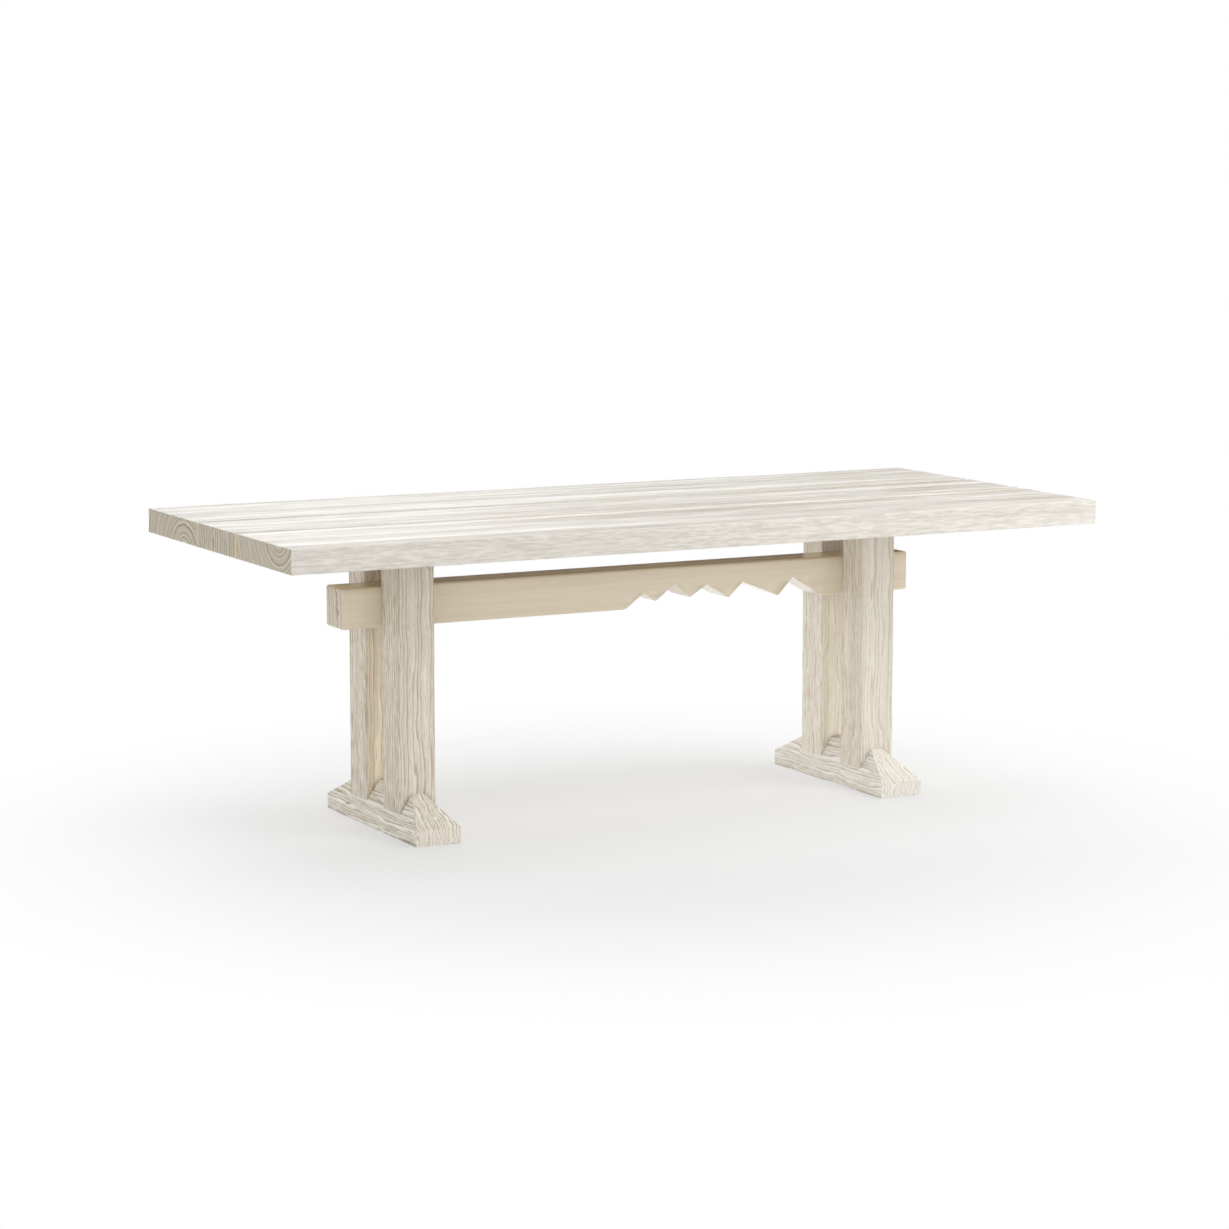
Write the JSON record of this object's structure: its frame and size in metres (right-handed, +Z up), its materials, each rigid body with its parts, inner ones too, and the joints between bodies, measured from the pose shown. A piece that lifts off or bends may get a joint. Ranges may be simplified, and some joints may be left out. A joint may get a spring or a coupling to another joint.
{
  "type": "trestle dining table",
  "caption": "Long planked dining table on trestles of straddling posts and hipped feet, tied by a through stretcher with a zigzag cut in its lower edge.",
  "frame": {"origin": "On the floor, under the middle of the top.", "axes": "+X along the table towards the end with the zigzag, +Y to the rear where the bolt heads are, +Z up."},
  "size_m": [2.2, 0.935, 0.76],
  "materials": {
    "plank_wood": "limed, clear satin lacquer",
    "fillet_wood": "clear satin lacquer",
    "trestle_wood": "wire-brushed and limed",
    "stretcher_wood": "planed, lightly limed",
    "bearer_wood": "planed, unlimed",
    "dowel_wood": "plain",
    "fastener_steel": "zinc plated",
    "insert_brass": "plain"
  },
  "bodies": {
    "root": {"top_plank_front": "plank_wood", "top_plank_middle": "plank_wood", "top_plank_rear": "plank_wood", "fillet_front": "fillet_wood", "fillet_rear": "fillet_wood", "plank_dowels_front": "dowel_wood", "plank_dowels_rear": "dowel_wood", "bearer_left": "bearer_wood", "bearer_right": "bearer_wood", "post_left_front": "trestle_wood", "post_left_rear": "trestle_wood", "post_right_front": "trestle_wood", "post_right_rear": "trestle_wood", "foot_left": "trestle_wood", "foot_right": "trestle_wood", "stretcher": "stretcher_wood", "stretcher_bolts": "fastener_steel", "bolt_washers": "fastener_steel", "threaded_inserts": "insert_brass", "top_screws": "fastener_steel", "screw_washers": "fastener_steel"}
  },
  "joints": []
}
